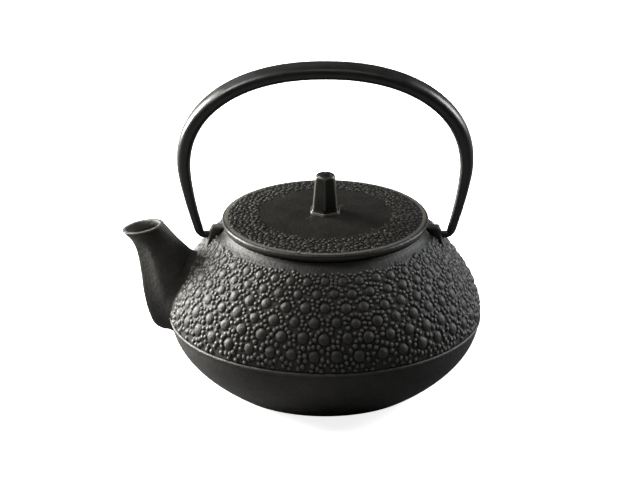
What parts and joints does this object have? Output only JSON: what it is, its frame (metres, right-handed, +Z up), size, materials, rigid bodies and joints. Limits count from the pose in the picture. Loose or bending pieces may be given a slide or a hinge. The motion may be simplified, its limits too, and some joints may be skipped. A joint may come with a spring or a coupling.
{
  "type": "teapot infuser",
  "caption": "Squat studded cast iron teapot with a swinging bail handle, a short spout, a flat lid with a hexagonal knob and a hanging stainless infuser basket.",
  "frame": {"origin": "centre of the flat base, on the table plane", "axes": "+Z up; the spout points along -X; the bail handle stands in the XZ plane and swings about X"},
  "size_m": [0.1728, 0.15, 0.1639],
  "materials": {
    "cast_iron": "matte black, sand cast",
    "bail_steel": "satin black",
    "stainless": "satin"
  },
  "bodies": {
    "pot": {"pot_body": "cast_iron"},
    "handle": {"handle_bail": "bail_steel"},
    "infuser": {"infuser_rim": "stainless", "infuser_mesh_wall": "stainless", "infuser_seam_strip": "stainless", "infuser_base_cup": "stainless", "infuser_base_screen": "stainless"},
    "lid": {"lid_disc": "cast_iron", "lid_knob": "cast_iron", "knob_washer": "stainless", "knob_screw": "stainless"}
  },
  "joints": [
    {"name": "handle_swing", "type": "hinge", "parent": "pot", "child": "handle", "pos_m": [0, 0, 0.076], "axis": [1, 0, 0], "range_deg": [-105, 105]},
    {"name": "infuser_lift", "type": "slide", "parent": "pot", "child": "infuser", "axis": [0, 0, 1], "range_m": [0, 0.045]},
    {"name": "lid_lift", "type": "slide", "parent": "infuser", "child": "lid", "axis": [0, 0, 1], "range_m": [0, 0.045]}
  ]
}
